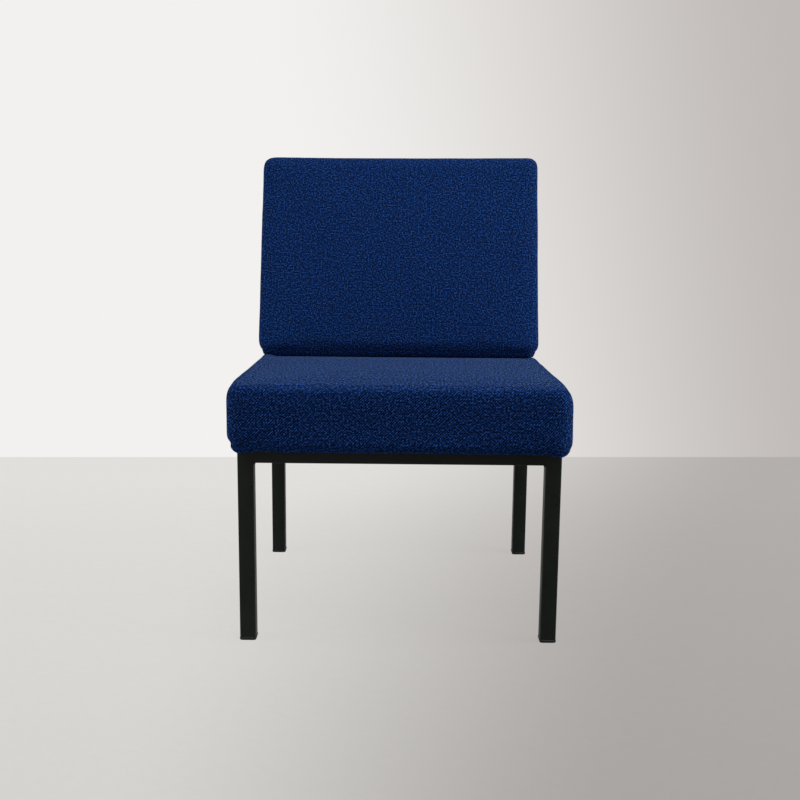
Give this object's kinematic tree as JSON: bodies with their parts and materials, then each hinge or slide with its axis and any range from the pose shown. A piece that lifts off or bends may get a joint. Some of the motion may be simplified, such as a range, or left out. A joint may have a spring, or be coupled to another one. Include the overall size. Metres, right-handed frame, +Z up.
{
  "type": "slipper chair",
  "caption": "Low armless chair with an upholstered seat and leaning back on a welded square-tube frame.",
  "frame": {"origin": "on the floor, under the middle of the chair's box", "axes": "+Z up, the sitter faces -Y, +X is the right-hand side as seen from the front"},
  "size_m": [0.528, 0.5994, 0.7696],
  "materials": {
    "frame_paint": "satin black powder coat on steel tube",
    "black_plastic": "moulded black plastic",
    "blue_fabric": "heathered blue wool weave",
    "dust_cloth": "black non-woven cloth",
    "foam": "open-cell upholstery foam",
    "plywood": "raw birch plywood",
    "zinc_steel": "zinc plated",
    "black_steel": "blackened steel"
  },
  "bodies": {
    "root": {"leg_front_left": "frame_paint", "glide_front_left": "black_plastic", "leg_front_right": "frame_paint", "glide_front_right": "black_plastic", "leg_rear_left": "frame_paint", "glide_rear_left": "black_plastic", "leg_rear_right": "frame_paint", "glide_rear_right": "black_plastic", "rail_front": "frame_paint", "rail_rear": "frame_paint", "rail_left": "frame_paint", "rail_right": "frame_paint", "seat_panel": "plywood", "seat_foam": "foam", "seat_cover": "blue_fabric", "seat_dust_cover": "dust_cloth", "seat_washer_front_left": "zinc_steel", "seat_screw_front_left": "zinc_steel", "seat_tee_nut_front_left": "zinc_steel", "seat_washer_rear_left": "zinc_steel", "seat_screw_rear_left": "zinc_steel", "seat_tee_nut_rear_left": "zinc_steel", "seat_washer_front_right": "zinc_steel", "seat_screw_front_right": "zinc_steel", "seat_tee_nut_front_right": "zinc_steel", "seat_washer_rear_right": "zinc_steel", "seat_screw_rear_right": "zinc_steel", "seat_tee_nut_rear_right": "zinc_steel", "upright_plug_high_left": "black_plastic", "upright_plug_high_right": "black_plastic", "back_panel": "plywood", "back_foam": "foam", "back_cover": "blue_fabric", "back_rear_board": "blue_fabric", "back_washer_low_left": "black_steel", "back_bolt_low_left": "black_steel", "back_tee_nut_low_left": "zinc_steel", "back_washer_high_left": "black_steel", "back_bolt_high_left": "black_steel", "back_tee_nut_high_left": "zinc_steel", "back_washer_low_right": "black_steel", "back_bolt_low_right": "black_steel", "back_tee_nut_low_right": "zinc_steel", "back_washer_high_right": "black_steel", "back_bolt_high_right": "black_steel", "back_tee_nut_high_right": "zinc_steel", "upright_left": "frame_paint", "upright_plug_low_left": "black_plastic", "upright_right": "frame_paint", "upright_plug_low_right": "black_plastic"}
  },
  "joints": []
}
